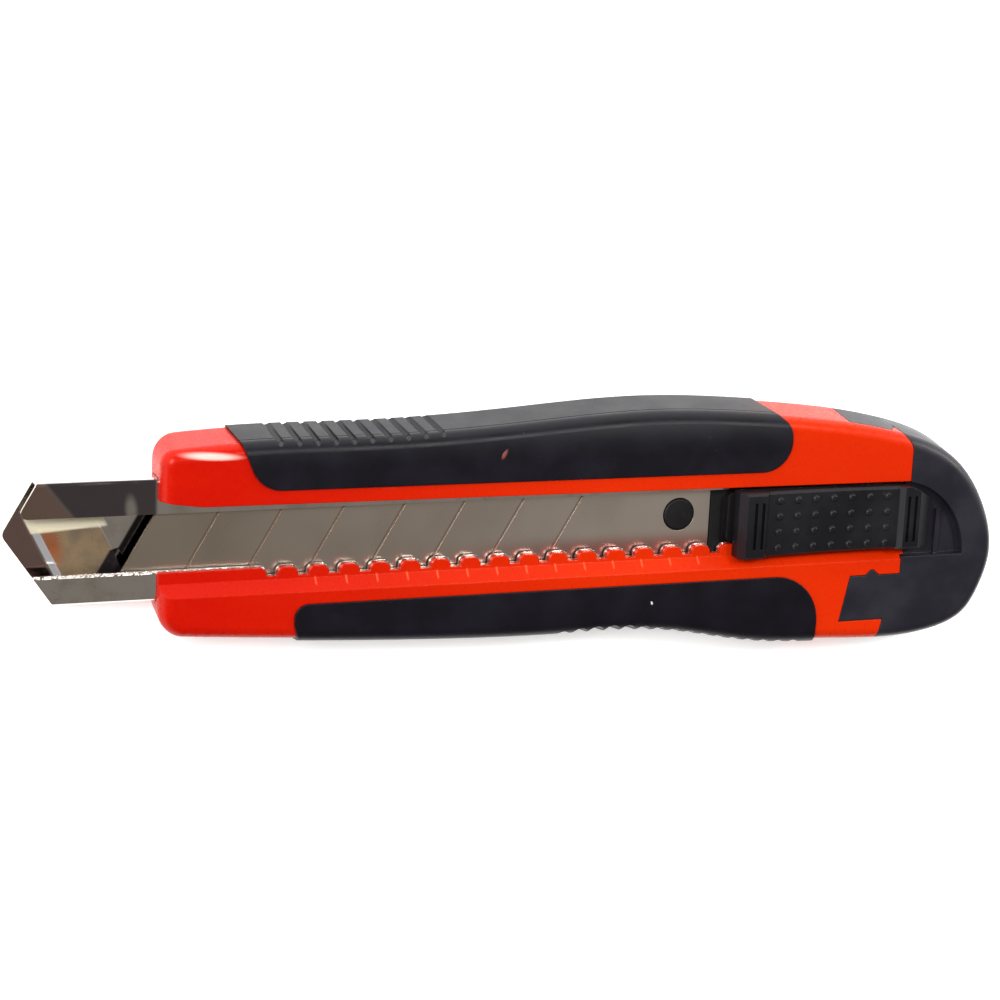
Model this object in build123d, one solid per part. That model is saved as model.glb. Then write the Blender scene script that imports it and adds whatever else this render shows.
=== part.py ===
from build123d import *
import math
import os

# A snap-off utility knife with a moulded handle, two rubber grips and a locking slider.
# X runs from the nose to the rear end, Y towards the spine, Z up from the flat back.
# The origin is on the flat back, level with the middle of the blade channel.

# ---- handle ----
body_thickness = 10.0
body_front_x = -63.8
side_draft = 1.5
front_round = 2.0
back_round = 1.6
front_corner_top_r = 2.2
front_corner_bottom_r = 3.2
back_corner_top_r = 3.4
back_corner_bottom_r = 9.0
nose_relief_length = 6.5
nose_relief_inset = 0.8
lip_height = 2.5
lip_setback = 1.3
trench_taper = 0.6
trench_flare = 1.8
trench_flare_length = 6.3
slope_width = 1.85
slope_setback = 0.5

# ---- rubber grips ----
grip_depth = 1.5
grip_proud = 0.35
grip_groove_r = 0.6
grip_groove_depth = 0.65
grip_groove_count = 10
grip_groove_lean = 3.7
grip_scallop_r = 1.5
grip_scallop_depth = 0.4
grip_scallop_count = 16

# ---- steel rail ----
rail_depth = 3.5
sheet_thickness = 0.5
rail_rear_x = 69.0
nose_length = 23.2
nose_apex_y = 1.0
nose_top_angle = 60.0
nose_bottom_angle = 55.2
nose_apex_r = 1.4
slot_top_y = 4.0
slot_bottom_y = -4.9
flange_corner_r = 1.0
bend_r = 0.9
rail_clearance = 0.05

# ---- lock notches, cut in the rail and in the plastic ledge over it ----
notch_pitch = 5.0
notch_count = 21
lock_notch = 18
lock_notch_x = 44.15
notch_width = 1.5
notch_base_y = -6.4
tooth_corner_r = 1.1
ledge_thickness = 0.9
ledge_setback = 0.15

# ---- blade ----
blade_length = 100.0
blade_height = 18.0
blade_thickness = 0.5
segment_length = 10.0
segment_angle = 60.0
score_count = 7
score_width = 0.4
score_depth = 0.12
bevel_width = 1.7
edge_thickness = 0.06
blade_tail_x = 28.5
blade_edge_clearance = 0.15
blade_flange_gap = 0.4
tail_hole_r = 2.75
tail_hole_inset = 5.47

# ---- blade carrier ----
carrier_clearance = 0.2
carrier_rear_x = 66.0
carrier_tongue_length = 11.0
tail_gap = 0.15
peg_clearance = 0.15
peg_proud = 0.25
tongue_clearance = 0.05
deck_proud = 0.1
deck_front_x = 31.0
deck_rear_x = 63.5
deck_clearance = 0.35
post_slot_floor = 0.8
post_slot_clearance = 0.3

# ---- lock spring ----
leaf_thickness = 0.4
leaf_length = 19.0
leaf_height = 1.2
leaf_lift = 1.6
leaf_clearance = 0.35
pawl_clearance = 0.15

# ---- thumb slide ----
thumb_front_x = 32.0
thumb_rear_x = 67.4
thumb_top_setback = 0.25
thumb_bottom_setback = 0.1
thumb_lift = 0.2
thumb_height = 3.7
pad_drop = 1.1
pad_dish = 0.4
pad_front_x = 36.9
pad_rear_x = 60.9
ridge_groove_width = 0.55
ridge_groove_depth = 0.6
thumb_travel = 1.0
dot_rows = 4
dot_columns = 7
dot_pitch_x = 3.3
dot_pitch_y = 2.65
dot_r = 0.6
dot_height = 0.35
post_r = 1.3
post_inset = 6.6
post_pitch = 18.6
post_y = 1.2

# ---- end cap ----
cap_gap = 0.12
cap_wall = 2.2
cap_front_x = 63.8
cap_pocket_drop = 0.5
cap_top_tongue_x = 52.4
cap_top_tongue_drop = 1.8
cap_top_tongue_y = 13.2
cap_finger_offset = 1.6
cap_nib_x = 57.7
cap_nib_height = 0.9
cap_nib_width = 2.3
cap_rib_width = 0.9

# ---- derived levels ----
rail_height = blade_height + 2 * (blade_edge_clearance + sheet_thickness)
half_rail = rail_height / 2
half_channel = half_rail - sheet_thickness
rail_front_z = body_thickness - lip_height
rail_back_z = rail_front_z - rail_depth
rail_floor_z = rail_back_z + sheet_thickness
flange_back_z = rail_front_z - sheet_thickness
ledge_front_z = rail_front_z + ledge_thickness
blade_front_z = flange_back_z - blade_flange_gap
blade_back_z = blade_front_z - blade_thickness
carrier_bottom_z = rail_floor_z + carrier_clearance
carrier_top_z = flange_back_z - carrier_clearance
deck_top_z = ledge_front_z + deck_proud
thumb_base_z = deck_top_z + thumb_lift
thumb_top_z = thumb_base_z + thumb_height
pad_z = thumb_top_z - pad_drop
cap_pocket_z = thumb_base_z - cap_pocket_drop
cap_top_tongue_z = body_thickness - cap_top_tongue_drop

# ---- derived places along and across the knife ----
nose_apex_x = body_front_x - nose_length
peg_x = blade_tail_x - tail_hole_inset
first_notch_x = lock_notch_x - lock_notch * notch_pitch
last_notch_x = first_notch_x + (notch_count - 1) * notch_pitch
trench_top_y = slot_top_y + lip_setback
trench_flare_x = body_front_x + trench_flare_length
slope_foot_y = notch_base_y - slope_setback
slope_top_y = slope_foot_y - slope_width
thumb_top_y = slot_top_y + thumb_top_setback
thumb_bottom_y = slope_foot_y + thumb_bottom_setback
cap_finger_y = -half_rail - cap_finger_offset

# Edge of the handle and end cap seen from the front: along the spine, round the rear
# end and back along the belly.
OUTLINE = [
    (-63.8, 15.2),
    (-46.0, 16.2),
    (-28.0, 16.3),
    (-5.0, 17.5),
    (16.5, 18.8),
    (38.0, 17.7),
    (61.0, 14.3),
    (73.2, 9.1),
    (79.8, 0.4),
    (81.9, -8.6),
    (80.3, -14.8),
    (76.8, -20.2),
    (70.8, -22.8),
    (50.0, -23.4),
    (36.0, -22.5),
    (21.0, -19.8),
    (2.0, -19.3),
    (-24.0, -18.7),
    (-46.0, -17.5),
    (-63.8, -16.2),
]


def outline():
    """The outline's points, its front part stretched to the handle's length."""
    stretch = body_front_x / OUTLINE[0][0]
    return [(x * stretch if x < 0 else x, y) for x, y in OUTLINE]


def moved_in(points, inset):
    """The points, each moved inwards square to the line through its neighbours."""
    moved = []
    last = len(points) - 1
    for i, (x, y) in enumerate(points):
        ax, ay = points[max(i - 1, 0)]
        bx, by = points[min(i + 1, last)]
        length = math.hypot(bx - ax, by - ay)
        across = (by - ay) / length * inset
        up = -(bx - ax) / length * inset
        moved.append((x if i in (0, last) else x + across, y + up))
    return moved


def plan(inset, bottom_r, top_r):
    """The handle's outline as a face, its long edges moved in by inset."""
    points = moved_in(outline(), inset)
    edge = Spline(*points)
    front = Line(points[-1], points[0])
    face = make_face(edge + front)
    corners = face.vertices().sort_by(Axis.X)[:2].sort_by(Axis.Y)
    face = fillet(corners[0], bottom_r)
    corner = face.vertices().sort_by(Axis.X)[:3].sort_by(Axis.Y)[-1]
    return fillet(corner, top_r)


def slab(inset, low, high, front_r, back_r):
    """The handle's outline as a solid between two heights: narrower at the front."""
    low_face = Pos(0, 0, low) * plan(inset, back_corner_bottom_r, back_corner_top_r)
    high_plan = plan(inset + side_draft, front_corner_bottom_r, front_corner_top_r)
    high_face = Pos(0, 0, high) * high_plan
    solid = loft([low_face, high_face], ruled=True)
    solid = fillet(solid.faces().sort_by(Axis.Z)[-1].edges(), front_r)
    if back_r:
        solid = fillet(solid.faces().sort_by(Axis.Z)[0].edges(), back_r)
    return solid


def nose_relief():
    """Wedge taken off the back of the handle behind the nose."""
    front = body_front_x
    rear = front + nose_relief_length
    depth = rail_back_z - nose_relief_inset
    wedge = [(front - 1, -1), (rear, -1), (rear, 0), (front, depth), (front - 1, depth)]
    face = Plane.XZ * make_face(Polyline(*wedge, close=True))
    return extrude(face, 40, both=True)


def block(x0, x1, y0, y1, z0, z1):
    """A box between two corners."""
    size = Box(x1 - x0, y1 - y0, z1 - z0)
    return Pos((x0 + x1) / 2, (y0 + y1) / 2, (z0 + z1) / 2) * size


def prism(points, z0, z1):
    """A plan polygon raised from z0 to z1."""
    face = make_face(Polyline(*points, close=True))
    return Pos(0, 0, z0) * extrude(face, z1 - z0)


def rounded_prism(points, radii, z0, z1):
    """A plan polygon with some corners rounded, raised from z0 to z1."""
    face = make_face(Polyline(*points, close=True))
    for (x, y), r in radii:
        corner = face.vertices().sort_by_distance((x, y, 0))[0]
        face = fillet(corner, r)
    return Pos(0, 0, z0) * extrude(face, z1 - z0)


# ---------------------------------------------------------------- grips

def upper_grip_region():
    """The area of the upper grip, seen from the front."""
    points = [(-56.0, 26.0), (-48.5, 7.6), (41.2, 7.3), (41.0, 14.6), (28.0, 26.0)]
    radii = [((-48.5, 7.6), 5.0), ((41.2, 7.3), 5.0), ((41.0, 14.6), 4.0)]
    return rounded_prism(points, radii, -1, body_thickness + 2)


def lower_grip_region():
    """The area of the lower grip, seen from the front."""
    points = [(-42.6, -10.7), (47.9, -10.6), (47.4, -30.0), (-38.0, -30.0), (-42.6, -14.0)]
    radii = [((-42.6, -10.7), 2.2), ((47.9, -10.6), 8.0)]
    return rounded_prism(points, radii, -1, body_thickness + 2)


def grip_core():
    """The handle under the grips, which are moulded round it."""
    return slab(grip_depth, grip_depth, body_thickness - grip_depth, front_round - 0.8, 0)


def grip_stock():
    """The outside of the grips: a little proud of the handle except on the back."""
    return slab(-grip_proud, 0, body_thickness + grip_proud, front_round, back_round)


def side_slope():
    """Lean of the handle's long sides, in degrees."""
    return math.degrees(math.atan2(side_draft, body_thickness))


def make_upper_grip(stock, core):
    """Rubber pad along the spine, with grooves across its top near the front."""
    grip = (stock & upper_grip_region()) - core
    spine = Spline((-45.55, 16.2), (-28.0, 16.3), (-19.9, 16.75))
    out = grip_proud + grip_groove_r - grip_groove_depth
    for i in range(grip_groove_count):
        share = i / (grip_groove_count - 1)
        spot = spine @ share
        turn = Rot(side_slope(), share * grip_groove_lean, 0)
        bar = Cylinder(grip_groove_r, 3 * body_thickness)
        grip -= Pos(spot.X, spot.Y + out, 0) * turn * bar
    return grip


def make_lower_grip(stock, core):
    """Rubber pad along the belly, scalloped where the fingers close round it."""
    grip = (stock & lower_grip_region()) - core
    belly = Spline((2.8, -19.3), (21.0, -19.8), (36.0, -22.5), (44.2, -23.2))
    out = grip_proud + grip_scallop_r - grip_scallop_depth
    cut = Rot(-side_slope(), 0, 0) * Cylinder(grip_scallop_r, 3 * body_thickness)
    for i in range(grip_scallop_count):
        spot = belly @ (i / (grip_scallop_count - 1))
        grip -= Pos(spot.X, spot.Y - out, 0) * cut
    return grip


# ---------------------------------------------------------------- notches

def comb(edge_y, width, z0, z1, front_x, rear_x):
    """A ledge below the slot whose edge carries the lock teeth."""
    face = Pos((front_x + rear_x) / 2, (notch_base_y - half_rail) / 2) * Rectangle(
        rear_x - front_x, half_rail + notch_base_y
    )
    height = edge_y - notch_base_y
    tall = 2 * height + 2 * tooth_corner_r
    for i in range(notch_count - 1):
        x = first_notch_x + (i + 0.5) * notch_pitch
        tooth = RectangleRounded(notch_pitch - width, tall, tooth_corner_r)
        face += Pos(x, edge_y - tall / 2) * tooth
    front_end = first_notch_x - width / 2
    rear_end = last_notch_x + width / 2
    for x0, x1 in ((front_x, front_end), (rear_end, rear_x)):
        strip = make_face(
            Polyline((x0, notch_base_y), (x1, notch_base_y), (x1, edge_y), (x0, edge_y), close=True)
        )
        inner = x1 if x1 == front_end else x0
        corner = strip.vertices().sort_by_distance((inner, edge_y, 0))[0]
        face += fillet(corner, tooth_corner_r)
    return Pos(0, 0, z0) * extrude(face, z1 - z0)


# ---------------------------------------------------------------- rail

def slant(rise, angle):
    """How far a slanted edge of the nose runs back over a rise in Y."""
    return rise / math.tan(math.radians(angle))


def nose_outline():
    """Pointed plan shape of the rail."""
    apex = (nose_apex_x, nose_apex_y)
    points = [
        (rail_rear_x, -half_rail),
        (rail_rear_x, half_rail),
        (nose_apex_x + slant(half_rail - nose_apex_y, nose_top_angle), half_rail),
        apex,
        (nose_apex_x + slant(half_rail + nose_apex_y, nose_bottom_angle), -half_rail),
    ]
    return rounded_prism(points, [(apex, nose_apex_r)], rail_back_z, rail_front_z)


def tube(depth, height, corner_r, length):
    """A rounded rectangular bar along X."""
    return Rot(0, 90, 0) * extrude(RectangleRounded(depth, height, corner_r), length / 2, both=True)


def make_blade_rail():
    """Folded steel channel: floor, two walls and two flanges beside the slot."""
    length = rail_rear_x - nose_apex_x
    middle = (rail_rear_x + nose_apex_x) / 2
    hollow = 2 * sheet_thickness
    channel = tube(rail_depth, rail_height, bend_r, length)
    channel -= tube(rail_depth - hollow, rail_height - hollow, bend_r - sheet_thickness, 2 * length)
    channel = Pos(middle, 0, rail_back_z + rail_depth / 2) * channel
    front_x = nose_apex_x - 1
    rear_x = rail_rear_x + 1
    channel -= block(front_x, rear_x, notch_base_y, slot_top_y, flange_back_z, rail_front_z + 1)
    teeth = comb(slot_bottom_y, notch_width, flange_back_z, rail_front_z, front_x, rear_x)
    teeth &= block(front_x, rear_x, bend_r - half_rail, 0, 0, body_thickness)
    rail = (channel + teeth) & nose_outline()
    flange_x = nose_apex_x + slant(slot_top_y - nose_apex_y, nose_top_angle)
    upright = rail.edges().filter_by(Axis.Z)
    corner = upright.sort_by_distance((flange_x, slot_top_y, rail_front_z))[0]
    return fillet(corner, flange_corner_r)


# ---------------------------------------------------------------- blade

def blade_outline():
    """Plan shape of the blade: a slanted front end and a square tail."""
    lean = blade_height / math.tan(math.radians(segment_angle))
    tip_x = blade_tail_x - blade_length
    half = blade_height / 2
    return [(tip_x, -half), (blade_tail_x, -half), (blade_tail_x, half), (tip_x + lean, half)]


def make_blade():
    """Segmented blade, sharpened along its lower edge, with a hole in its tail."""
    half = blade_height / 2
    land = (blade_thickness - edge_thickness) / 2
    section = [
        (half, 0),
        (half, blade_thickness),
        (bevel_width - half, blade_thickness),
        (-half, blade_thickness - land),
        (-half, land),
        (bevel_width - half, 0),
    ]
    face = Plane.YZ * make_face(Polyline(*section, close=True))
    bar = Pos(blade_tail_x - blade_length, 0, blade_back_z) * extrude(face, blade_length)
    blade = bar & prism(blade_outline(), blade_back_z - 1, blade_front_z + 1)
    lean = math.radians(segment_angle)
    first = blade_tail_x - blade_length + half / math.tan(lean) + segment_length
    long_cut = 1.2 * blade_height / math.sin(lean)
    for i in range(score_count):
        cut = Box(long_cut, score_width, 2 * score_depth)
        blade -= Pos(first + i * segment_length, 0, blade_front_z) * Rot(0, 0, segment_angle) * cut
    hole = Cylinder(tail_hole_r, 4 * blade_thickness)
    return blade - Pos(peg_x, 0, blade_front_z) * hole


# ---------------------------------------------------------------- carrier and lock

def leaf_pocket():
    """The space in the carrier's deck that holds the lock spring and lets it lift."""
    half = leaf_length / 2 + leaf_clearance
    front_x = lock_notch_x - half
    rear_x = lock_notch_x + half
    deep = slot_bottom_y + deck_clearance + leaf_thickness + leaf_lift + leaf_clearance
    return block(front_x, rear_x, slot_bottom_y - 1, deep, carrier_top_z, deck_top_z + 1)


def post_spots():
    """Where the thumb slide's posts reach down into the carrier."""
    front_x = thumb_front_x + post_inset
    return [(front_x, post_y), (front_x + post_pitch, post_y)]


def make_carrier():
    """Slide that runs in the rail: tongue with a peg under the blade, and a raised deck."""
    half = half_channel - carrier_clearance
    front_x = blade_tail_x + tail_gap
    slide = block(front_x, carrier_rear_x, -half, half, carrier_bottom_z, carrier_top_z)
    slide = fillet(slide.edges().filter_by(Axis.Z).group_by(Axis.X)[-1], 1.5)
    tongue_x = blade_tail_x - carrier_tongue_length
    tongue_top = blade_back_z - tongue_clearance
    tongue = block(tongue_x, front_x + 1, 2 - half, half - 2, carrier_bottom_z, tongue_top)
    tongue = fillet(tongue.edges().filter_by(Axis.Z).group_by(Axis.X)[0], 2.0)
    low = slot_bottom_y + deck_clearance
    high = slot_top_y - deck_clearance
    deck = block(deck_front_x, deck_rear_x, low, high, carrier_top_z - 0.5, deck_top_z)
    deck = fillet(deck.edges().filter_by(Axis.Z), 0.8)
    carrier = slide + tongue + deck
    peg_top = blade_front_z + peg_proud
    peg_foot = blade_back_z - 1
    peg = Cylinder(tail_hole_r - peg_clearance, peg_top - peg_foot)
    peg = Pos(peg_x, 0, (peg_top + peg_foot) / 2) * peg
    peg = fillet(peg.edges().group_by(Axis.Z)[-1], 0.3)
    carrier += peg
    carrier -= leaf_pocket()
    for x, y in post_spots():
        run = 2 * (thumb_travel + post_slot_clearance)
        slot = SlotCenterToCenter(run, 2 * (post_r + post_slot_clearance))
        carrier -= Pos(x, y, carrier_bottom_z + post_slot_floor) * extrude(slot, body_thickness)
    return carrier


def make_lock_spring():
    """Steel leaf on edge with a pawl that drops into a lock notch."""
    low = slot_bottom_y + deck_clearance
    z0 = carrier_top_z + 0.1
    half = leaf_length / 2
    x = lock_notch_x
    back = low + leaf_thickness
    leaf = block(x - half, x + half, low, back, z0, z0 + leaf_height)
    reach = notch_width / 2 - pawl_clearance
    tip = notch_base_y + pawl_clearance
    pawl = block(x - reach, x + reach, tip, back, z0, z0 + leaf_height)
    pawl = fillet(pawl.edges().filter_by(Axis.Z).group_by(Axis.Y)[0], 0.35)
    return leaf + pawl


# ---------------------------------------------------------------- thumb slide

def thumb_outline():
    """Plan shape of the thumb slide, cut back at its rear corner."""
    return [
        (thumb_front_x, thumb_bottom_y),
        (thumb_rear_x, thumb_bottom_y + 0.5),
        (thumb_rear_x, thumb_top_y - 2.4),
        (thumb_rear_x - 4.4, thumb_top_y),
        (thumb_front_x, thumb_top_y),
    ]


def thumb_side():
    """Side view of the thumb slide: two ridges with a dished pad between them."""
    pad_end_z = pad_z + 0.25
    pad_low = ((pad_front_x + pad_rear_x) / 2, pad_end_z - pad_dish)
    profile = Polyline(
        (pad_front_x, pad_end_z),
        (pad_front_x - 0.7, thumb_top_z),
        (thumb_front_x + 0.7, thumb_top_z),
        (thumb_front_x, thumb_base_z + 1.9),
        (thumb_front_x, thumb_base_z),
        (thumb_rear_x, thumb_base_z),
        (thumb_rear_x, thumb_base_z + 1.5),
        (pad_rear_x + 3.6, thumb_top_z),
        (pad_rear_x + 0.7, thumb_top_z),
        (pad_rear_x, pad_end_z),
    )
    dish = ThreePointArc((pad_rear_x, pad_end_z), pad_low, (pad_front_x, pad_end_z))
    return extrude(Plane.XZ * make_face(profile + dish), 20, both=True)


def is_long_top_edge(edge):
    """True for the edges along the top of the thumb slide's long sides."""
    lengthwise = abs(edge.tangent_at(0.5).X) > 0.9
    return lengthwise and edge.length > 2 and edge.center().Z > thumb_base_z + 1


def make_thumb_slide():
    """Ridged thumb button with a dotted pad and two posts into the carrier."""
    thumb = prism(thumb_outline(), thumb_base_z, thumb_top_z) & thumb_side()
    side_edges = thumb.faces().filter_by(Axis.Y, tolerance=3).edges()
    thumb = chamfer(side_edges.filter_by(is_long_top_edge), 0.4)
    low_y = thumb_bottom_y + 1.6
    high_y = thumb_top_y - 1.6
    floor_z = thumb_top_z - ridge_groove_depth
    for x in (pad_front_x - 2.9, pad_front_x - 1.6, pad_rear_x + 1.2, pad_rear_x + 2.5):
        thumb -= block(x, x + ridge_groove_width, low_y, high_y, floor_z, thumb_top_z + 1)
    mid_x = (pad_front_x + pad_rear_x) / 2
    mid_y = (thumb_bottom_y + thumb_top_y) / 2
    dot = Cylinder(dot_r, 2 * dot_height)
    dot = chamfer(dot.edges().group_by(Axis.Z)[-1], 0.6 * dot_height)
    for i in range(dot_columns):
        for j in range(dot_rows):
            x = mid_x + (i - (dot_columns - 1) / 2) * dot_pitch_x
            y = mid_y + (j - (dot_rows - 1) / 2) * dot_pitch_y
            rise = pad_dish * ((x - mid_x) / (pad_rear_x - mid_x)) ** 2
            thumb += Pos(x, y, pad_z + 0.25 - pad_dish + rise) * dot
    foot = carrier_bottom_z + post_slot_floor + 0.2
    head = thumb_base_z + 0.5
    for x, y in post_spots():
        thumb += Pos(x, y, (head + foot) / 2) * Cylinder(post_r, head - foot)
    return thumb


# ---------------------------------------------------------------- end cap

def cap_region(gap):
    """The plan area that belongs to the end cap, grown towards the handle by gap."""
    front = cap_front_x - gap
    finger_y = cap_finger_y + gap
    nib_half = cap_nib_width / 2 + gap
    points = [
        (95.0, 30.0),
        (58.9 - gap, 17.6),
        (front, 10.6),
        (front, -8.0),
        (front - 0.8, -8.0),
        (front - 0.8, finger_y),
        (cap_nib_x + nib_half, finger_y),
        (cap_nib_x + 0.3, finger_y + cap_nib_height),
        (cap_nib_x - 0.3, finger_y + cap_nib_height),
        (cap_nib_x - nib_half, finger_y),
        (cap_nib_x - 4.0 - gap, finger_y),
        (cap_nib_x - 5.6 - gap, -18.9 - gap),
        (cap_nib_x + 2.6 - gap, -18.9 - gap),
        (cap_nib_x + 0.9 - gap, -27.0),
        (95.0, -27.0),
    ]
    area = rounded_prism(points, [((front, 10.6), 2.5)], -1, body_thickness + 2)
    tongue_y = cap_top_tongue_y - gap
    tongue = block(cap_top_tongue_x - gap, 70, tongue_y, 30, -1, cap_top_tongue_z + gap)
    return area + tongue


def slider_pocket():
    """D-shaped recess in the cap that takes the thumb slide's rear end."""
    top = (cap_front_x - 1, trench_top_y - trench_taper)
    rear = (cap_front_x + 10.8, -8.3)
    arc = ThreePointArc(top, (cap_front_x + 7.4, 0.4), rear)
    face = make_face(arc + Polyline(rear, (cap_front_x - 1, -8.3), top))
    return Pos(0, 0, cap_pocket_z) * extrude(face, 5)


def make_end_cap(outside):
    """Rear end of the handle: pulls off rearwards, with a snap tongue below."""
    cap = outside & cap_region(0)
    cap -= slider_pocket()
    inside = slab(cap_wall, cap_wall, body_thickness - cap_wall, 0.6, 0)
    cap -= inside & block(cap_front_x - 2, 90, -24, 20, 0, body_thickness)
    wide = half_rail + 3 * cap_gap
    room = 0.3
    front_x = cap_front_x - 3
    rear_x = rail_rear_x + 0.5
    cap -= block(front_x, rear_x, -wide, wide, rail_back_z - room, rail_front_z + room)
    rib_x = cap_front_x + 5.8
    rib = block(rib_x, rib_x + cap_rib_width, -8.3, -0.5, cap_pocket_z - 0.5, cap_pocket_z + 0.7)
    return cap + rib


# ---------------------------------------------------------------- handle

def trench():
    """The open channel in the handle's front: slot, ledge and sloping lower side."""
    front = body_front_x - 6
    rear = cap_front_x + 1
    ledge_edge = slot_bottom_y - ledge_setback
    flare = (trench_flare_x, trench_top_y + 0.1)
    upper = [
        (front, ledge_edge),
        (rear, ledge_edge),
        (rear, trench_top_y - trench_taper),
        flare,
        (front, trench_top_y + trench_flare),
    ]
    space = rounded_prism(upper, [(flare, 14.0)], rail_front_z, body_thickness + 1)
    space += block(front, rear, slope_foot_y, ledge_edge + 1, ledge_front_z, body_thickness + 1)
    slope = [
        (slope_foot_y, ledge_front_z),
        (slope_top_y, body_thickness),
        (slope_top_y, body_thickness + 1),
        (ledge_edge, body_thickness + 1),
        (ledge_edge, ledge_front_z),
    ]
    section = Plane.YZ * make_face(Polyline(*slope, close=True))
    return space + Pos(front, 0, 0) * extrude(section, rear - front)


def make_handle_body(outside, core):
    """Single red moulding that holds the rail, carries the grips and takes the cap."""
    body = outside - nose_relief()
    body -= upper_grip_region() - core
    body -= lower_grip_region() - core
    body -= cap_region(cap_gap)
    half = half_rail + rail_clearance
    front = body_front_x - 6
    rear = rail_rear_x + 6
    body -= block(front, rear, -half, half, rail_back_z - rail_clearance, rail_front_z)
    body -= trench()
    band_front = first_notch_x - notch_pitch
    band_rear = last_notch_x + notch_pitch
    ledge_edge = slot_bottom_y - ledge_setback
    band = block(band_front, band_rear, notch_base_y, ledge_edge, rail_front_z, ledge_front_z)
    wide = notch_width + 2 * ledge_setback
    teeth = comb(ledge_edge, wide, rail_front_z, ledge_front_z, band_front - 5, band_rear + 5)
    return body - (band - teeth)


def save(shape, name):
    """One file per piece."""
    export_step(shape, "parts/" + name + ".step")


def main():
    os.makedirs("parts", exist_ok=True)
    outside = slab(0, 0, body_thickness, front_round, back_round)
    core = grip_core()
    stock = grip_stock()
    save(make_handle_body(outside, core), "handle_body")
    save(make_upper_grip(stock, core), "upper_grip")
    save(make_lower_grip(stock, core), "lower_grip")
    save(make_end_cap(outside), "end_cap")
    save(make_blade_rail(), "blade_rail")
    save(make_blade(), "blade")
    save(make_carrier(), "blade_carrier")
    save(make_lock_spring(), "lock_spring")
    save(make_thumb_slide(), "thumb_slide")


main()
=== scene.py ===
"""A snap-off utility knife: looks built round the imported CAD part."""

import math

import bmesh
import bpy
from mathutils import Matrix, Vector


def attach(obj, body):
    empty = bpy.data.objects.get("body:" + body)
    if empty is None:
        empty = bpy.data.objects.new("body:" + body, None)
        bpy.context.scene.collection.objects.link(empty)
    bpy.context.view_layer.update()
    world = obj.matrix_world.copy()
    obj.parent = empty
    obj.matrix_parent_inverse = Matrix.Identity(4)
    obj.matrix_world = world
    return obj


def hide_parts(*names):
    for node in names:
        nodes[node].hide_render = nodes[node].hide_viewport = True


MM = 0.001

# The blade's slanted score lines and the handle's teeth repeat along X.
SCORE_ANGLE = math.radians(60)
SCORE_PITCH = 10 * MM
SCORE_START = 111.3 * MM
SCORE_END_X = 10 * MM
TOOTH_PITCH = 5 * MM
TOOTH_START = 101.5 * MM

# Direction in which the surroundings are darkest, and how bright they are there and away.
DARK_SKY = (0.35, -0.233, 0.907)
DARK_SKY_EDGE = (-0.05, 0.45)
SKY_BRIGHT = (2.3, 2.3, 2.35, 1)
SKY_DARK = (0.22, 0.20, 0.18, 1)

FLOOR_HALF_WIDTH = 2.5
FLOOR_DROP = 0.0002
FLOOR_GLOW = 0.4

CAMERA_PLACE = (-0.158305, 0.103163, 0.395021)
CAMERA_RIGHT = (0.935657, 0.044675, 0.350073)
CAMERA_UP = (0.040810, 0.971603, -0.233070)
CAMERA_BACK = (-0.350544, 0.232360, 0.907264)
CAMERA_LENS = 97.2
CAMERA_SENSOR = 36.0

RED = {
    # Painted light: the first pair below is the red in painted shade, the second pair the same
    # red painted lit.
    "deep": (0.43, 0.0030, 0.0),
    "deep_pale": (0.47, 0.0055, 0.0),
    "rear_lit": (0.52, 0.0150, 0.0),
    "rear_lit_pale": (0.57, 0.0200, 0.0),
    "scuff": (0.66, 0.03, 0.015),
    "dirt": (0.30, 0.005, 0.002),
    "lens_highlight": (0.95, 0.62, 0.55),
    "tooth_glint": (0.95, 0.30, 0.12),
}
RUBBER = {
    "black": (0.0030, 0.0026, 0.0050),
    "black_pale": (0.0050, 0.0045, 0.0085),
    "speck": (0.10, 0.10, 0.11),
    "nick": (0.20, 0.045, 0.035),
    "fleck": (0.55, 0.55, 0.55),
}
BLACK_PLASTIC = {
    "dark": (0.0040, 0.0038, 0.0058),
    "pale": (0.0065, 0.0062, 0.0090),
    "lint": (0.09, 0.09, 0.095),
}
RAIL = {
    "bright": (0.80, 0.77, 0.73),
    "smudged": (0.64, 0.60, 0.54),
    "spots": (0.34, 0.30, 0.24),
    # Painted reflections on the upper flange:
    "brown": (0.36, 0.22, 0.17),
    "slate": (0.12, 0.10, 0.13),
    # Painted reflection on the floor at the nose's tip:
    "tip_reflection": (0.34, 0.19, 0.17),
    # Painted reflections on the pad, then an orange patch:
    "reflected_tint": (0.28, 0.17, 0.055),
    "reflected_tint_dark": (0.16, 0.095, 0.035),
    "orange_patch": (0.45, 0.10, 0.02),
    "shadow": (0.012, 0.009, 0.014),
    # A painted highlight strip, then a painted reflection on the bevel:
    "cream_highlight": (0.56, 0.51, 0.37),
    "bevel": (0.42, 0.43, 0.46),
    "cut_edge": (0.20, 0.17, 0.15),
}
BLADE = {
    "front": (0.52, 0.45, 0.37),
    "front_dull": (0.44, 0.38, 0.31),
    "rear": (0.80, 0.72, 0.65),
    "rear_dull": (0.70, 0.63, 0.56),
    "score": (0.17, 0.115, 0.075),
    "pits": (0.16, 0.13, 0.10),
    "red_reflection": (0.42, 0.055, 0.03),
    "tail_shade": (0.06, 0.045, 0.04),
    "downward_shade": (0.03, 0.028, 0.03),
}
SPRING = {"blue_grey": (0.22, 0.23, 0.28), "grey": (0.35, 0.34, 0.36)}

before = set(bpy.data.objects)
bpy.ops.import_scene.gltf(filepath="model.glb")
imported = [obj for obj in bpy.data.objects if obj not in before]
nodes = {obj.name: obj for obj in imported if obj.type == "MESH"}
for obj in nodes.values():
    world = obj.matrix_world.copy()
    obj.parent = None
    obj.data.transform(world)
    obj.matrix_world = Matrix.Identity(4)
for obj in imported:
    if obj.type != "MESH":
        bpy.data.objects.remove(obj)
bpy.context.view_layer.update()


# ------------------------------------------------------------------ node helpers


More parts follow.
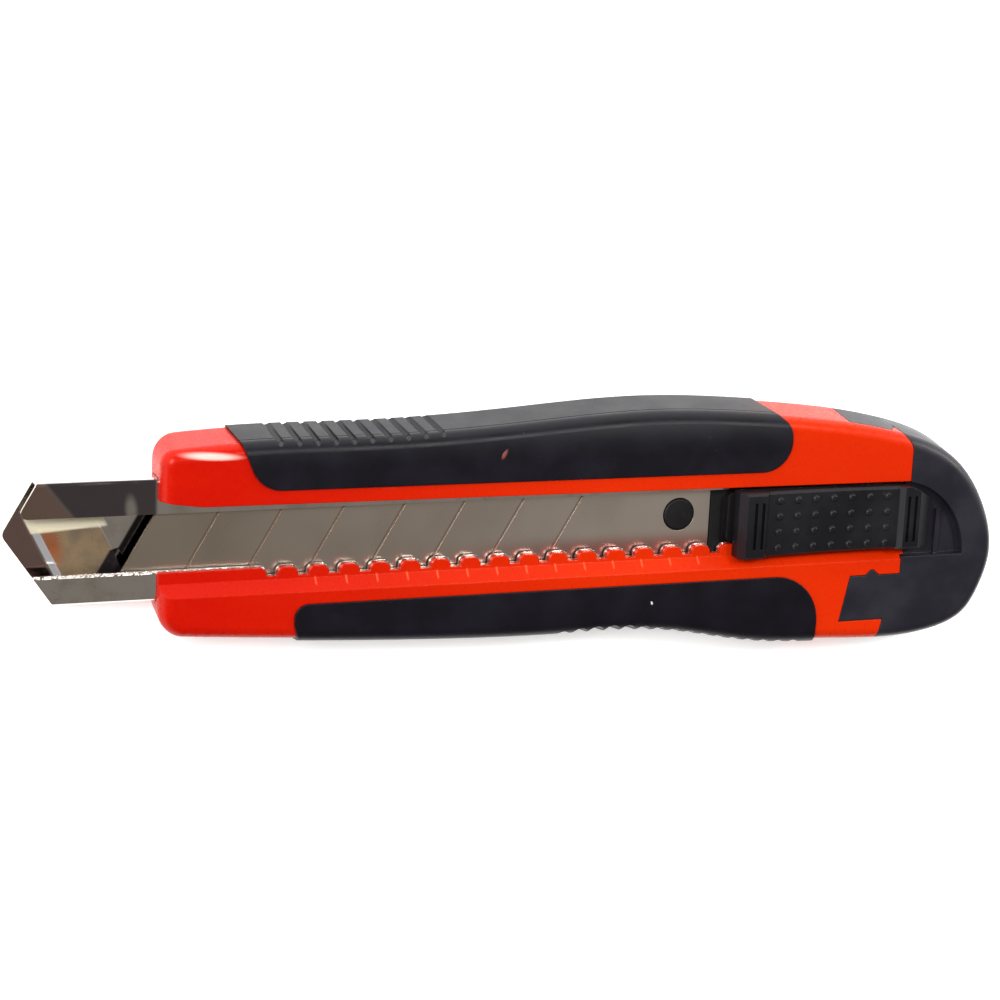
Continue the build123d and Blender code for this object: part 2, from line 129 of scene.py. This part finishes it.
class Graph:
    """A material's node tree with short calls for the nodes used here."""

    def __init__(self, name):
        self.mat = bpy.data.materials.new(name)
        self.mat.use_nodes = True
        self.tree = self.mat.node_tree
        self.tree.nodes.clear()
        self.shader = self.tree.nodes.new("ShaderNodeBsdfPrincipled")
        out = self.tree.nodes.new("ShaderNodeOutputMaterial")
        self.tree.links.new(self.shader.outputs[0], out.inputs[0])
        self.coords = self.tree.nodes.new("ShaderNodeTexCoord").outputs["Object"]

    def link(self, source, socket):
        if isinstance(source, (int, float)):
            socket.default_value = source
        elif isinstance(source, (tuple, list)):
            socket.default_value = tuple(source)
        else:
            self.tree.links.new(source, socket)

    def math(self, op, a, b=0.0, clamp=False):
        node = self.tree.nodes.new("ShaderNodeMath")
        node.operation = op
        node.use_clamp = clamp
        self.link(a, node.inputs[0])
        self.link(b, node.inputs[1])
        return node.outputs[0]

    def stretch(self, sx, sy, sz, turn=0.0):
        """Object coordinates scaled per axis, after a turn about Z."""
        node = self.tree.nodes.new("ShaderNodeMapping")
        self.link(self.coords, node.inputs["Vector"])
        node.inputs["Scale"].default_value = (sx, sy, sz)
        node.inputs["Rotation"].default_value = (0, 0, turn)
        return node.outputs[0]

    def noise(self, scale, detail=4.0, rough=0.55, vector=None):
        node = self.tree.nodes.new("ShaderNodeTexNoise")
        self.link(vector if vector is not None else self.coords, node.inputs["Vector"])
        node.inputs["Scale"].default_value = scale
        node.inputs["Detail"].default_value = detail
        node.inputs["Roughness"].default_value = rough
        return node.outputs[0]

    def ramp(self, value, low, high, to_low=0.0, to_high=1.0):
        """A smooth step from to_low to to_high while value goes from low to high."""
        node = self.tree.nodes.new("ShaderNodeMapRange")
        node.interpolation_type = "SMOOTHSTEP"
        self.link(value, node.inputs["Value"])
        node.inputs["From Min"].default_value = low
        node.inputs["From Max"].default_value = high
        node.inputs["To Min"].default_value = to_low
        node.inputs["To Max"].default_value = to_high
        return node.outputs["Result"]

    def band(self, value, centre, half, fade):
        """1 where value is within half of centre, fading to 0 over fade."""
        away = self.math("ABSOLUTE", self.math("SUBTRACT", value, centre))
        return self.ramp(away, half, half + fade, 1.0, 0.0)

    def slope(self, value, low, high):
        """A straight step from 0 to 1, for a flat bevel."""
        node = self.tree.nodes.new("ShaderNodeMapRange")
        self.link(value, node.inputs["Value"])
        node.inputs["From Min"].default_value = low
        node.inputs["From Max"].default_value = high
        return node.outputs["Result"]

    def upward(self):
        """Z of the surface's own direction: 1 where it faces up."""
        geometry = self.tree.nodes.new("ShaderNodeNewGeometry")
        node = self.tree.nodes.new("ShaderNodeSeparateXYZ")
        self.tree.links.new(geometry.outputs["True Normal"], node.inputs[0])
        return node.outputs[2]

    def axes(self):
        node = self.tree.nodes.new("ShaderNodeSeparateXYZ")
        self.link(self.coords, node.inputs[0])
        return node.outputs[0], node.outputs[1], node.outputs[2]

    def leaning(self, x, y):
        """X measured to the blade's slanted score lines instead of straight across."""
        return self.math("SUBTRACT", x, self.math("MULTIPLY", y, 1 / math.tan(SCORE_ANGLE)))

    def all_of(self, *masks):
        """The product of several masks."""
        total = masks[0]
        for mask in masks[1:]:
            total = self.math("MULTIPLY", total, mask)
        return total

    def shades(self, value, first, second, low=0.35, high=0.7):
        """Two shades that run into each other as value goes from low to high."""
        return self.mix(self.ramp(value, low, high), first + (1,), second + (1,))

    def paint(self, base, mask, amount, colour):
        """Lays colour over base where mask is 1, at most by amount."""
        return self.mix(self.math("MULTIPLY", mask, amount), base, colour + (1,))

    def mix(self, factor, a, b):
        node = self.tree.nodes.new("ShaderNodeMix")
        node.data_type = "RGBA"
        self.link(factor, node.inputs["Factor"])
        sockets = [s for s in node.inputs if s.type == "RGBA"]
        self.link(a, sockets[0])
        self.link(b, sockets[1])
        return [s for s in node.outputs if s.type == "RGBA"][0]

    def bump(self, height, distance_mm, strength=1.0, normal=None):
        node = self.tree.nodes.new("ShaderNodeBump")
        node.inputs["Strength"].default_value = strength
        node.inputs["Distance"].default_value = distance_mm * MM
        self.link(height, node.inputs["Height"])
        if normal is not None:
            self.link(normal, node.inputs["Normal"])
        return node.outputs[0]

    def soft_edges(self, radius_mm):
        node = self.tree.nodes.new("ShaderNodeBevel")
        node.samples = 6
        node.inputs["Radius"].default_value = radius_mm * MM
        return node.outputs[0]

    def spot(self, x, y, rx, ry, turn=0.0, soft=0.4):
        """1 inside an ellipse in plan, fading to 0 outside it. Sizes in mm."""
        node = self.tree.nodes.new("ShaderNodeMapping")
        node.vector_type = "TEXTURE"
        self.link(self.coords, node.inputs["Vector"])
        node.inputs["Location"].default_value = (x * MM, y * MM, 0)
        node.inputs["Rotation"].default_value = (0, 0, turn)
        node.inputs["Scale"].default_value = (rx * MM, ry * MM, 1e6)
        length = self.tree.nodes.new("ShaderNodeVectorMath")
        length.operation = "LENGTH"
        self.link(node.outputs[0], length.inputs[0])
        return self.ramp(length.outputs["Value"], 1.0 - soft, 1.0 + soft, 1.0, 0.0)

    def set(self, **values):
        for key, value in values.items():
            self.link(value, self.shader.inputs[key.replace("_", " ")])
        return self.mat


# ------------------------------------------------------------------ materials


def red_plastic():
    """Satin ABS: fine spark texture, faint flow marks, duller scuffs, painted light that darkens
    it towards the nose, and a painted highlight on the nose's upper crease.
    """
    g = Graph("red_abs")
    x, y, z = g.axes()
    grain = g.noise(5200, 3)
    flow = g.noise(60, 3, 0.6, g.stretch(0.35, 1.0, 1.0))
    dirt = g.noise(900, 5, 0.7)
    scuff = g.ramp(g.noise(700, 4, 0.6, g.stretch(0.12, 1.0, 1.0, 0.5)), 0.66, 0.76)
    lens = g.spot(-56.2, 13.2, 3.9, 0.50, -0.06, 0.5)

    deep = g.shades(flow, RED["deep"], RED["deep_pale"])
    rear_lit = g.shades(flow, RED["rear_lit"], RED["rear_lit_pale"])
    # Painted light: the red is darker towards the nose and lighter towards the rear, a gradient
    # of light and shade put into the colour.
    base = g.mix(g.ramp(x, -60 * MM, 10 * MM), deep, rear_lit)
    base = g.paint(base, scuff, 0.12, RED["scuff"])
    base = g.paint(base, g.ramp(dirt, 0.76, 0.88), 0.15, RED["dirt"])
    # Painted highlight: a pale lens on the nose's upper crease where a light's reflection falls;
    # the bump below tilts the same spot.
    base = g.paint(base, lens, 0.75, RED["lens_highlight"])
    # Painted glints: one light mark under each tooth.
    base = g.paint(base, tooth_glints(g, x, y), 0.22, RED["tooth_glint"])

    rough = g.math("ADD", g.ramp(dirt, 0.3, 0.7, 0.24, 0.36), g.math("MULTIPLY", scuff, 0.2))
    normal = g.bump(lens, -0.12, 1.0, g.soft_edges(0.25))
    normal = g.bump(flow, 0.02, 0.6, normal)
    normal = g.bump(grain, 0.005, 0.7, normal)
    g.shader.inputs["Specular IOR Level"].default_value = 0.22
    g.shader.inputs["Specular Tint"].default_value = (1.0, 0.82, 0.58, 1)
    return g.set(Base_Color=base, Roughness=rough, Normal=normal)


def tooth_glints(g, x, y):
    """One short faint painted glint under each tooth of the handle's ledge."""
    phase = g.math("FRACT", g.math("DIVIDE", g.math("ADD", x, TOOTH_START), TOOTH_PITCH))
    across = g.band(phase, 0.5, 0.015, 0.03)
    along = g.band(y, -7.3 * MM, 0.3 * MM, 0.5 * MM)
    front_end = g.ramp(x, -42 * MM, -38 * MM)
    rear_end = g.ramp(x, 28 * MM, 26 * MM)
    return g.all_of(across, along, front_end, rear_end)


def black_rubber():
    """Soft-touch rubber: near black, fine even grain, crowned towards its outer edges."""
    g = Graph("black_tpr")
    x, y, z = g.axes()
    grain = g.noise(3800, 4, 0.7)
    broad = g.noise(130, 4, 0.6)
    speck = g.ramp(g.noise(2400, 2, 0.5), 0.76, 0.80)
    nick = g.spot(-9.2, 11.9, 0.28, 0.75, -0.5, 0.5)
    fleck = g.spot(17.5, -13.7, 0.16, 0.30, 0.4, 0.3)
    crease = g.all_of(g.band(z, 8.5 * MM, 0.08 * MM, 0.3 * MM), g.ramp(y, 0.0, 2 * MM))

    base = g.shades(broad, RUBBER["black"], RUBBER["black_pale"])
    base = g.paint(base, speck, 0.35, RUBBER["speck"])
    base = g.paint(base, nick, 1.0, RUBBER["nick"])
    base = g.paint(base, fleck, 1.0, RUBBER["fleck"])

    rough = g.math("ADD", g.ramp(broad, 0.3, 0.7, 0.32, 0.40), g.math("MULTIPLY", grain, 0.08))
    normal = g.bump(rubber_crown(g, y), 1000.0, 1.0, g.soft_edges(0.22))
    normal = g.bump(crease, -0.12, 1.0, normal)
    normal = g.bump(nick, 0.12, 1.0, normal)
    normal = g.bump(grain, 0.012, 0.8, normal)
    g.shader.inputs["Specular IOR Level"].default_value = 0.2
    return g.set(Base_Color=base, Roughness=rough, Normal=normal)


def rubber_crown(g, y):
    """Height in metres of a pad that falls away past a line near each outer edge."""
    past_upper = g.math("MAXIMUM", g.math("SUBTRACT", y, 11.0 * MM), 0.0)
    past_lower = g.math("MAXIMUM", g.math("SUBTRACT", -13.0 * MM, y), 0.0)
    past = g.math("ADD", past_upper, g.math("MULTIPLY", past_lower, 0.6))
    return g.math("MULTIPLY", g.math("MULTIPLY", past, past), -24.0)


def black_plastic(name, smooth, dull, grain_mm, edge_mm, tone=1.0):
    """Moulded black plastic: spark texture with handling marks and a little lint."""
    g = Graph(name)
    grain = g.noise(4200, 3, 0.6)
    broad = g.noise(110, 4, 0.6)
    lint = g.ramp(g.noise(1500, 2, 0.5, g.stretch(1.0, 0.3, 1.0, 0.8)), 0.74, 0.79)
    dark = tuple(tone * part for part in BLACK_PLASTIC["dark"])
    pale = tuple(tone * part for part in BLACK_PLASTIC["pale"])
    base = g.shades(broad, dark, pale)
    base = g.paint(base, lint, 0.3, BLACK_PLASTIC["lint"])
    rough = g.ramp(broad, 0.3, 0.7, smooth, dull)
    normal = g.bump(grain, grain_mm, 0.8, g.soft_edges(edge_mm))
    g.shader.inputs["Specular IOR Level"].default_value = 0.3
    return g.set(Base_Color=base, Roughness=rough, Normal=normal)


def rail_steel():
    """Bright nickel-plated strip: mirror-like and stamped, with painted reflections, a painted
    highlight and a painted shadow on its floor behind the nose.
    """
    g = Graph("rail_nickel")
    x, y, z = g.axes()
    up = g.upward()
    across = g.math("ADD", x, g.math("MULTIPLY", y, 0.5))
    drawn = g.noise(900, 3, 0.6, g.stretch(0.02, 1.0, 1.0))
    smudge = g.noise(220, 5, 0.62)
    spots = g.ramp(g.noise(480, 4, 0.7), 0.60, 0.72)
    floor = g.all_of(g.ramp(z, 4.9 * MM, 5.3 * MM, 1.0, 0.0), g.ramp(up, 0.5, 0.7))
    cut = g.all_of(g.ramp(up, 0.55, 0.8, 1.0, 0.0), g.ramp(z, 6.8 * MM, 6.95 * MM),
                   g.ramp(y, -3.5 * MM, -4.5 * MM), g.ramp(x, -50 * MM, -47 * MM))
    rise = stamped_pad(g, across, y)
    inner = g.all_of(g.ramp(rise, 0.75, 1.0), floor)
    cream_highlight, bevel = pad_borders(g, x, y, across, floor)

    base = g.shades(smudge, RAIL["bright"], RAIL["smudged"], 0.4, 0.7)
    base = g.paint(base, spots, 0.35, RAIL["spots"])
    base = flange_reflections(g, base, x, y, z)
    # Painted reflection: a reddish tint on the floor at the nose's tip.
    tip_reflection = g.all_of(floor, g.ramp(across, -82.4 * MM, -81.4 * MM, 1.0, 0.0))
    base = g.paint(base, tip_reflection, 0.8, RAIL["tip_reflection"])
    # Painted reflection on the pad.
    base = pad_reflections(g, base, inner)
    # Painted shadow: the dark strip of floor in front of the blade.
    base = g.paint(base, beside_blade(g, x, y, floor), 0.97, RAIL["shadow"])
    # Painted highlight on the strip above the pad, then painted reflection on its bevel.
    base = g.paint(base, cream_highlight, 0.95, RAIL["cream_highlight"])
    base = g.paint(base, bevel, 0.9, RAIL["bevel"])
    base = g.paint(base, cut, 0.7, RAIL["cut_edge"])

    rough = g.math("ADD", g.ramp(smudge, 0.35, 0.7, 0.06, 0.18), g.math("MULTIPLY", inner, 0.16))
    rough = g.math("ADD", rough, g.math("MULTIPLY", cut, 0.3))
    metal = g.math("SUBTRACT", 1.0, g.math("MULTIPLY", cream_highlight, 0.9))
    metal = g.math("SUBTRACT", metal, g.math("MULTIPLY", inner, 0.35))
    metal = g.math("SUBTRACT", metal, g.math("MULTIPLY", bevel, 0.45), clamp=True)
    normal = g.bump(g.all_of(rise, floor), 0.30, 1.0, g.soft_edges(0.05))
    normal = g.bump(edge_burr(g, x, y, z), -0.40, 1.0, normal)
    normal = g.bump(g.noise(45, 2, 0.5), 0.08, 0.6, normal)
    normal = g.bump(drawn, 0.003, 0.5, normal)
    return g.set(Base_Color=base, Metallic=metal, Roughness=rough, Normal=normal)


def stamped_pad(g, across, y):
    """A raised pad on the rail's floor, with flat bevels on three sides."""
    left = g.slope(across, -81.9 * MM, -80.5 * MM)
    right = g.slope(across, -70.0 * MM, -71.2 * MM)
    top = g.slope(y, 3.1 * MM, 1.5 * MM)
    return g.all_of(left, right, top)


def pad_borders(g, x, y, across, floor):
    """The pale strip above the pad, a painted highlight, and the grey bevel on its front side, a
    painted reflection.
    """
    above = g.math("SUBTRACT", y, g.math("MULTIPLY", x, 0.077))
    cream_highlight = g.all_of(floor, g.ramp(above, 7.1 * MM, 7.6 * MM),
                     g.ramp(across, -82.2 * MM, -81.7 * MM),
                     g.ramp(across, -69.6 * MM, -70.4 * MM),
                     g.ramp(y, 3.2 * MM, 3.5 * MM, 1.0, 0.0))
    bevel = g.all_of(floor, g.ramp(above, 7.1 * MM, 7.4 * MM, 1.0, 0.0),
                     g.band(across, -81.2 * MM, 0.45 * MM, 0.3 * MM))
    return cream_highlight, bevel


def pad_reflections(g, base, inner):
    """A painted reflection of brown on the pad, and an orange patch."""
    film = g.noise(300, 4, 0.6)
    reflected_tint = g.shades(film, RAIL["reflected_tint"], RAIL["reflected_tint_dark"], 0.35, 0.65)
    orange_patch = g.all_of(g.spot(-79.3, -0.9, 1.2, 2.6, 0.3, 0.8), inner)
    base = g.mix(g.math("MULTIPLY", inner, 0.85), base, reflected_tint)
    return g.paint(base, orange_patch, 0.7, RAIL["orange_patch"])


def flange_reflections(g, base, x, y, z):
    """Painted reflections on the upper flange: brown at the front and slate at the rear, with
    one paler blotch.
    """
    flange = g.all_of(g.ramp(z, 7.1 * MM, 7.3 * MM), g.ramp(y, 3.0 * MM, 3.6 * MM))
    slant = g.math("ADD", x, g.math("MULTIPLY", y, 0.8))
    rear = g.ramp(slant, -74.1 * MM, -72.9 * MM)
    front = g.ramp(slant, -74.1 * MM, -72.9 * MM, 1.0, 0.0)
    blotch = g.spot(-67.9, 4.9, 0.8, 1.9, 0.1, 0.6)
    brown = g.all_of(flange, front)
    slate = g.all_of(flange, rear, g.ramp(x, -64.4 * MM, -63.6 * MM, 1.0, 0.0),
                     g.math("SUBTRACT", 1.0, g.math("MULTIPLY", blotch, 0.8)))
    base = g.paint(base, brown, 0.8, RAIL["brown"])
    return g.paint(base, slate, 0.9, RAIL["slate"])


def beside_blade(g, x, y, floor):
    """The dark strip of floor in front of the blade, a painted shadow, with a step near its
    lower end.
    """
    lean = g.leaning(x, y)
    low = g.ramp(y, -1.6 * MM, -2.1 * MM)
    edge = g.math("ADD", lean, g.math("MULTIPLY", low, 1.1 * MM))
    return g.all_of(floor, g.ramp(edge, -68.4 * MM, -67.9 * MM),
                    g.ramp(lean, -62 * MM, -57 * MM, 1.0, 0.0))


def edge_burr(g, x, y, z):
    """Ragged burr along the lower flange's inner edge, at the front only."""
    nibs = g.ramp(g.noise(1700, 3, 0.6), 0.42, 0.60)
    return g.all_of(g.slope(y, -5.35 * MM, -4.95 * MM), g.ramp(z, 7.2 * MM, 7.3 * MM),
                    g.ramp(y, 0.0, -1 * MM), nibs, g.ramp(x, -44 * MM, -50 * MM))


def blade_steel():
    """Ground carbon steel: brushed along its length, darker in the score lines."""
    g = Graph("blade_steel")
    x, y, z = g.axes()
    brush = g.noise(2600, 3, 0.6, g.stretch(0.015, 1.0, 1.0))
    cross = g.noise(1800, 2, 0.5, g.stretch(1.0, 0.03, 1.0))
    smudge = g.noise(60, 3, 0.5)
    pits = g.ramp(g.noise(1300, 3, 0.6), 0.72, 0.78)
    line = score_lines(g, x, y, z)
    reflected_red = g.all_of(g.ramp(y, -2.2 * MM, -5.2 * MM), g.ramp(x, -25 * MM, 12 * MM))

    front = g.shades(smudge, BLADE["front"], BLADE["front_dull"], 0.38, 0.7)
    rear = g.shades(smudge, BLADE["rear"], BLADE["rear_dull"], 0.38, 0.7)
    base = g.mix(g.ramp(x, -66 * MM, 15 * MM), front, rear)
    base = g.paint(base, line, 0.75, BLADE["score"])
    base = g.paint(base, pits, 0.5, BLADE["pits"])
    # Painted reflection: the red of the handle's teeth, laid on the blade beside them.
    base = g.paint(base, reflected_red, 0.62, BLADE["red_reflection"])
    # Painted shade: the blade's tail is darkened where it lies in shadow next to the carrier and
    # the thumb slide.
    base = g.paint(base, g.ramp(x, 30.0 * MM, 33.5 * MM), 0.85, BLADE["tail_shade"])
    # Painted shade: faces turned downward are near black, so their reflection in the rail's
    # floor shows as a dark band.
    base = g.paint(base, g.ramp(g.upward(), -0.5, -0.9), 0.9, BLADE["downward_shade"])

    rough = g.math("ADD", g.ramp(smudge, 0.3, 0.7, 0.24, 0.34), g.math("MULTIPLY", line, 0.15))
    normal = g.bump(brush, 0.0035, 0.6, g.soft_edges(0.05))
    normal = g.bump(cross, 0.002, 0.4, normal)
    return g.set(Base_Color=base, Metallic=1.0, Roughness=rough, Normal=normal)


def score_lines(g, x, y, z):
    """Slanted lines at the score pitch on the blade's upper side, none near its tail."""
    shifted = g.math("ADD", g.leaning(x, y), SCORE_START)
    phase = g.math("FRACT", g.math("DIVIDE", shifted, SCORE_PITCH))
    near = g.math("ABSOLUTE", g.math("SUBTRACT", phase, 0.5))
    line = g.ramp(near, 0.018, 0.040, 1.0, 0.0)
    before_tail = g.ramp(x, SCORE_END_X - 1 * MM, SCORE_END_X + 1 * MM, 1.0, 0.0)
    upper_side = g.ramp(z, 6.3 * MM, 6.45 * MM)
    return g.all_of(line, before_tail, upper_side)


def spring_steel():
    """Blued spring strip."""
    g = Graph("spring_steel")
    haze = g.noise(400, 4, 0.6)
    base = g.shades(haze, SPRING["grey"], SPRING["blue_grey"])
    rough = g.ramp(haze, 0.3, 0.7, 0.25, 0.4)
    normal = g.bump(g.noise(2500, 3, 0.6, g.stretch(0.03, 1, 1)), 0.004, 0.6)
    return g.set(Base_Color=base, Metallic=1.0, Roughness=rough, Normal=normal)


# ------------------------------------------------------------------ pieces


def detailed(node, name, body, material):
    """A visual piece that stands for a CAD node and keeps its exact curved-face normals."""
    mesh = nodes[node].data.copy()
    mesh.name = name
    mesh.materials.clear()
    mesh.materials.append(material)
    piece = bpy.data.objects.new(name, mesh)
    bpy.context.scene.collection.objects.link(piece)
    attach(piece, body)
    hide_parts(node)
    return piece


red = red_plastic()
rubber = black_rubber()
cap_black = black_plastic("cap_plastic", 0.30, 0.42, 0.010, 0.25, 2.6)
slide_black = black_plastic("slide_plastic", 0.34, 0.46, 0.008, 0.10, 0.9)
# Painted shade: tone 0.3 makes the carrier darker than the other black parts, for the shadow it
# lies in next to the thumb slide.
carrier_black_shaded = black_plastic("carrier_plastic_shaded", 0.45, 0.6, 0.010, 0.15, 0.3)
rail_metal = rail_steel()
blade_metal = blade_steel()

detailed("handle_body", "handle_moulding", "handle", red)
detailed("upper_grip", "upper_grip_pad", "handle", rubber)
detailed("lower_grip", "lower_grip_pad", "handle", rubber)
detailed("end_cap", "end_cap_moulding", "cap", cap_black)
detailed("blade_rail", "folded_rail", "handle", rail_metal)
detailed("blade", "snap_off_blade", "carriage", blade_metal)
detailed("blade_carrier", "carrier_moulding", "carriage", carrier_black_shaded)
detailed("thumb_slide", "thumb_slide_button", "thumb", slide_black)
detailed("lock_spring", "lock_spring_leaf", "lock", spring_steel())


# ------------------------------------------------------------------ studio


def make_floor():
    """A wide sheet of pale paper just under the knife."""
    mesh = bpy.data.meshes.new("floor")
    bm = bmesh.new()
    half = FLOOR_HALF_WIDTH
    square = ((-half, -half), (half, -half), (half, half), (-half, half))
    corners = [bm.verts.new((x, y, -FLOOR_DROP)) for x, y in square]
    bm.faces.new(corners)
    bm.to_mesh(mesh)
    bm.free()
    floor = bpy.data.objects.new("studio_floor", mesh)
    bpy.context.scene.collection.objects.link(floor)
    g = Graph("paper_white")
    base = g.shades(g.noise(2.0, 2), (0.93, 0.93, 0.93), (0.95, 0.95, 0.95), 0.3, 0.7)
    g.shader.inputs["Emission Color"].default_value = (1, 1, 1, 1)
    g.shader.inputs["Emission Strength"].default_value = FLOOR_GLOW
    mesh.materials.append(g.set(Base_Color=base, Roughness=0.9))


def make_world():
    """Soft pale surroundings with a darker patch of ceiling."""
    world = bpy.data.worlds.new("studio")
    bpy.context.scene.world = world
    world.use_nodes = True
    tree = world.node_tree
    tree.nodes.clear()
    coords = tree.nodes.new("ShaderNodeTexCoord").outputs["Generated"]
    dot = tree.nodes.new("ShaderNodeVectorMath")
    dot.operation = "DOT_PRODUCT"
    tree.links.new(coords, dot.inputs[0])
    dot.inputs[1].default_value = Vector(DARK_SKY).normalized()
    spread = tree.nodes.new("ShaderNodeMapRange")
    spread.interpolation_type = "SMOOTHSTEP"
    tree.links.new(dot.outputs["Value"], spread.inputs["Value"])
    spread.inputs["From Min"].default_value = DARK_SKY_EDGE[0]
    spread.inputs["From Max"].default_value = DARK_SKY_EDGE[1]
    ramp = tree.nodes.new("ShaderNodeValToRGB")
    tree.links.new(spread.outputs["Result"], ramp.inputs[0])
    ramp.color_ramp.elements[0].color = SKY_BRIGHT
    ramp.color_ramp.elements[1].color = SKY_DARK
    back = tree.nodes.new("ShaderNodeBackground")
    tree.links.new(ramp.outputs[0], back.inputs[0])
    back.inputs[1].default_value = 1.0
    out = tree.nodes.new("ShaderNodeOutputWorld")
    tree.links.new(back.outputs[0], out.inputs[0])


def add_light(name, place, target, size, power, colour=(1, 1, 1)):
    """A square soft light at place that points at target."""
    light = bpy.data.lights.new(name, "AREA")
    light.shape = "SQUARE"
    light.size = size
    light.energy = power
    light.color = colour
    obj = bpy.data.objects.new(name, light)
    bpy.context.scene.collection.objects.link(obj)
    aim = Vector(target) - Vector(place)
    obj.rotation_euler = aim.to_track_quat("-Z", "Y").to_euler()
    obj.location = place


def make_camera():
    """The photograph's viewing angle."""
    camera = bpy.data.cameras.new("camera")
    camera.sensor_width = CAMERA_SENSOR
    camera.lens = CAMERA_LENS
    camera.clip_start = 0.01
    obj = bpy.data.objects.new("camera", camera)
    bpy.context.scene.collection.objects.link(obj)
    turn = Matrix((CAMERA_RIGHT, CAMERA_UP, CAMERA_BACK)).transposed().to_4x4()
    obj.matrix_world = Matrix.Translation(CAMERA_PLACE) @ turn
    bpy.context.scene.camera = obj


make_floor()
make_world()
add_light("crest", (0.23, 0.27, 0.54), (0.0, 0.0, 0.0), 0.14, 1.8)
add_light("top", (-0.32, 0.22, 0.50), (0.0, 0.0, 0.0), 0.22, 3.0)
add_light("side", (0.60, 0.25, 0.25), (0.06, 0.0, 0.0), 0.25, 2.0, (1.0, 0.96, 0.90))
make_camera()
bpy.context.scene.view_settings.view_transform = "Standard"

bpy.context.view_layer.update()
